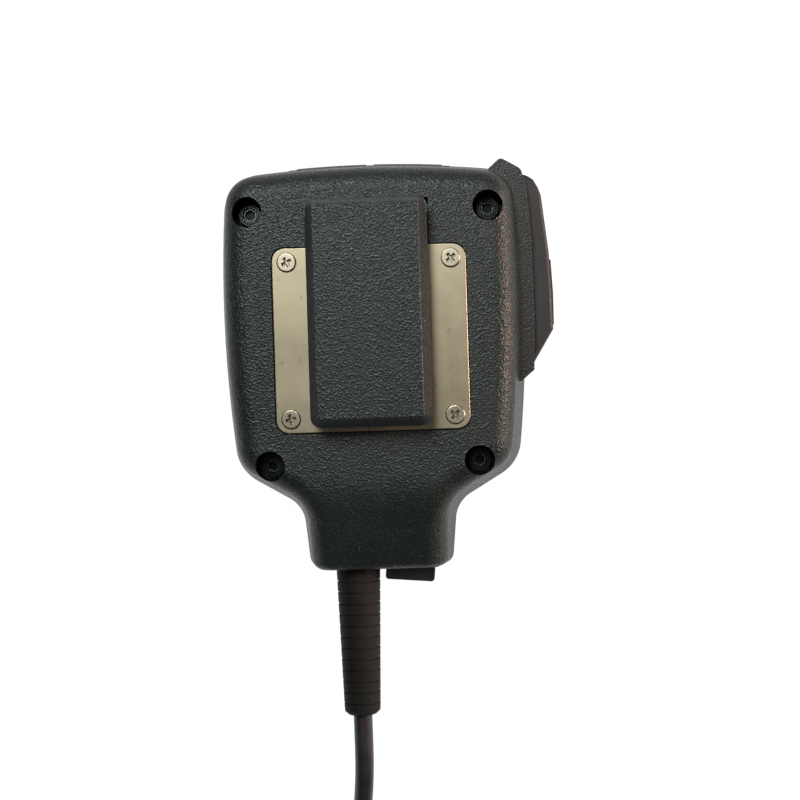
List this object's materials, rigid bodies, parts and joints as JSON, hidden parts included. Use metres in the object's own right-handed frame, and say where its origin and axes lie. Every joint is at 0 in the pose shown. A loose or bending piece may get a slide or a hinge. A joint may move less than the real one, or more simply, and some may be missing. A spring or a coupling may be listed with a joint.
{
  "type": "hand microphone",
  "caption": "Palm-sized push-to-talk radio microphone with a rear belt clip, side talk lever, top keys, end rocker and curly cord with a round screw plug.",
  "frame": {"origin": "on the flat front face, on the casing's centre line, about midway between the top edge and the neck's end", "axes": "+X towards the talk lever, +Y towards the top keys and away from the cord, +Z out of the back with the belt clip"},
  "size_m": [0.086, 0.2976, 0.0422],
  "materials": {
    "casing_plastic": "fine spark-eroded grain, dark green-grey",
    "clip_plastic": "fine spark-eroded grain, near black",
    "lever_plastic": "smooth satin black",
    "soft_rubber": "matt black rubber",
    "boot_rubber": "dark brown-black moulded rubber",
    "stainless": "satin, lightly worn",
    "screw_steel": "bright plated steel",
    "black_screw": "black oxide steel",
    "brass": "knurled brass",
    "spring_steel": "bright spring steel",
    "switch_plastic": "black switch body",
    "board_green": "green solder mask",
    "parts_dark": "mixed board parts",
    "tin": "tinned copper",
    "capsule_can": "drawn aluminium",
    "cloth": "black acoustic cloth",
    "cord_jacket": "satin black jacket",
    "plug_metal": "satin nickel plate",
    "plug_insulator": "moulded insulator"
  },
  "bodies": {
    "casing": {"front_cover": "casing_plastic", "rear_cover": "casing_plastic", "case_screws": "black_screw", "case_inserts": "brass", "clip_plate": "stainless", "plate_screws": "screw_steel", "belt_clip": "clip_plastic", "lever_frame": "casing_plastic", "lever_pin": "spring_steel", "lever_spring": "spring_steel", "talk_switch": "switch_plastic", "key_frame": "lever_plastic", "key_board": "board_green", "key_pad": "soft_rubber", "rocker_housing": "switch_plastic", "rocker_pin": "spring_steel", "rocker_terminals": "tin", "grille_cloth": "cloth", "capsule": "capsule_can", "capsule_holder": "soft_rubber", "circuit_board": "board_green", "board_screws": "screw_steel", "board_parts": "parts_dark", "cord_clamp": "switch_plastic", "clamp_screws": "screw_steel", "lead_wires": "cord_jacket", "strain_relief": "boot_rubber", "inner_lead": "cord_jacket", "cord_near_tail": "cord_jacket", "cord_coil": "cord_jacket", "cord_far_tail": "cord_jacket", "plug_boot": "boot_rubber", "plug_shell": "plug_metal", "plug_insert": "plug_insulator", "plug_pins": "tin"},
    "talk_lever": {"talk_lever": "lever_plastic", "lever_grip": "soft_rubber"},
    "talk_plunger": {"talk_plunger": "switch_plastic"},
    "key_left": {"key_left": "soft_rubber"},
    "key_right": {"key_right": "soft_rubber"},
    "rocker": {"rocker_key": "switch_plastic"},
    "plug_ring": {"plug_collar": "plug_metal"}
  },
  "joints": [
    {"name": "talk_press", "type": "hinge", "parent": "casing", "child": "talk_lever", "pos_m": [0.0364, 0.0416, 0.0162], "axis": [0, 0, -1], "range_deg": [0, 3.5], "stiffness_Nm_per_rad": 0.9, "springref_deg": -2.29, "deforming": ["lever_spring"]},
    {"name": "plunger_slide", "type": "slide", "parent": "casing", "child": "talk_plunger", "axis": [-1, 0, 0], "range_m": [0, 0.0018]},
    {"name": "key_left_press", "type": "slide", "parent": "casing", "child": "key_left", "axis": [0, -1, 0], "range_m": [0, 0.0006], "stiffness_N_per_m": 1500, "springref_m": -0.0004, "deforming": ["key_pad"]},
    {"name": "key_right_press", "type": "slide", "parent": "casing", "child": "key_right", "axis": [0, -1, 0], "range_m": [0, 0.0006], "stiffness_N_per_m": 1500, "springref_m": -0.0004},
    {"name": "rocker_tip", "type": "hinge", "parent": "casing", "child": "rocker", "pos_m": [0.0072, -0.0471, 0.017], "axis": [0, 0, 1], "range_deg": [0, 10]},
    {"name": "plug_ring_turn", "type": "hinge", "parent": "casing", "child": "plug_ring", "pos_m": [0.031, -0.126, 0.0093], "axis": [0, 1, 0], "continuous": true}
  ],
  "couplings": [
    {"joint": "plunger_slide", "follows": "talk_press", "m_per_rad": 0.0276}
  ]
}
